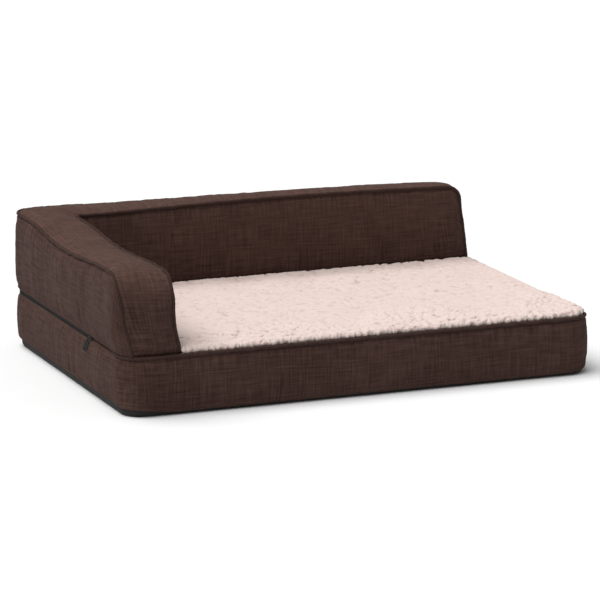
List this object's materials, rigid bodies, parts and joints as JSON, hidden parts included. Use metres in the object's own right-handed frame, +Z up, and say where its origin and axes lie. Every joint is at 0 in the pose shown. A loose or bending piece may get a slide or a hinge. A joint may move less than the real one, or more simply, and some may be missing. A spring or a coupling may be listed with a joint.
{
  "type": "pet cushion bed",
  "caption": "L-shaped foam pet bed: boxed mattress with fleece top, zipped to a bolster with a left arm and a back rest.",
  "frame": {"origin": "on the floor under the middle of the bed's bounding box", "axes": "+X to the right along the width, +Y to the back rest, +Z up; the arm is at -X"},
  "size_m": [0.9021, 0.64, 0.25],
  "materials": {
    "linen": "matte",
    "piping": "matte",
    "fleece": "matte",
    "nonslip": "matte",
    "lining": "matte",
    "foam": "matte",
    "zip_tape": "matte",
    "zip_coil": "satin",
    "zip_metal": "satin"
  },
  "bodies": {
    "bed": {"base_foam_slab": "foam", "egg_crate_foam": "foam", "arm_foam_core": "foam", "back_foam_core": "foam", "base_front_panel": "linen", "base_right_panel": "linen", "base_back_panel": "linen", "base_left_panel": "linen", "nonslip_bottom_panel": "nonslip", "fleece_top_panel": "fleece", "bolster_lining": "lining", "base_top_piping": "piping", "arm_outer_panel": "linen", "arm_inner_panel": "linen", "back_outer_panel": "linen", "back_inner_panel": "linen", "arm_top_strip": "linen", "back_top_strip": "linen", "bolster_outer_piping": "piping", "bolster_inner_piping": "piping", "zip_upper_tape": "zip_tape", "zip_lower_tape": "zip_tape", "zip_upper_coil": "zip_coil", "zip_lower_coil": "zip_coil", "zip_front_stop": "zip_metal", "zip_back_stop": "zip_metal"},
    "slider": {"zip_slider": "zip_metal"},
    "pull": {"zip_pull": "zip_metal"}
  },
  "joints": [
    {"name": "zip_slide", "type": "slide", "parent": "bed", "child": "slider", "axis": [0, 1, 0], "range_m": [0, 0.395]},
    {"name": "pull_swing", "type": "hinge", "parent": "slider", "child": "pull", "pos_m": [-0.4497, -0.1297, 0.105], "axis": [0, 1, 0], "range_deg": [0, 140]}
  ]
}
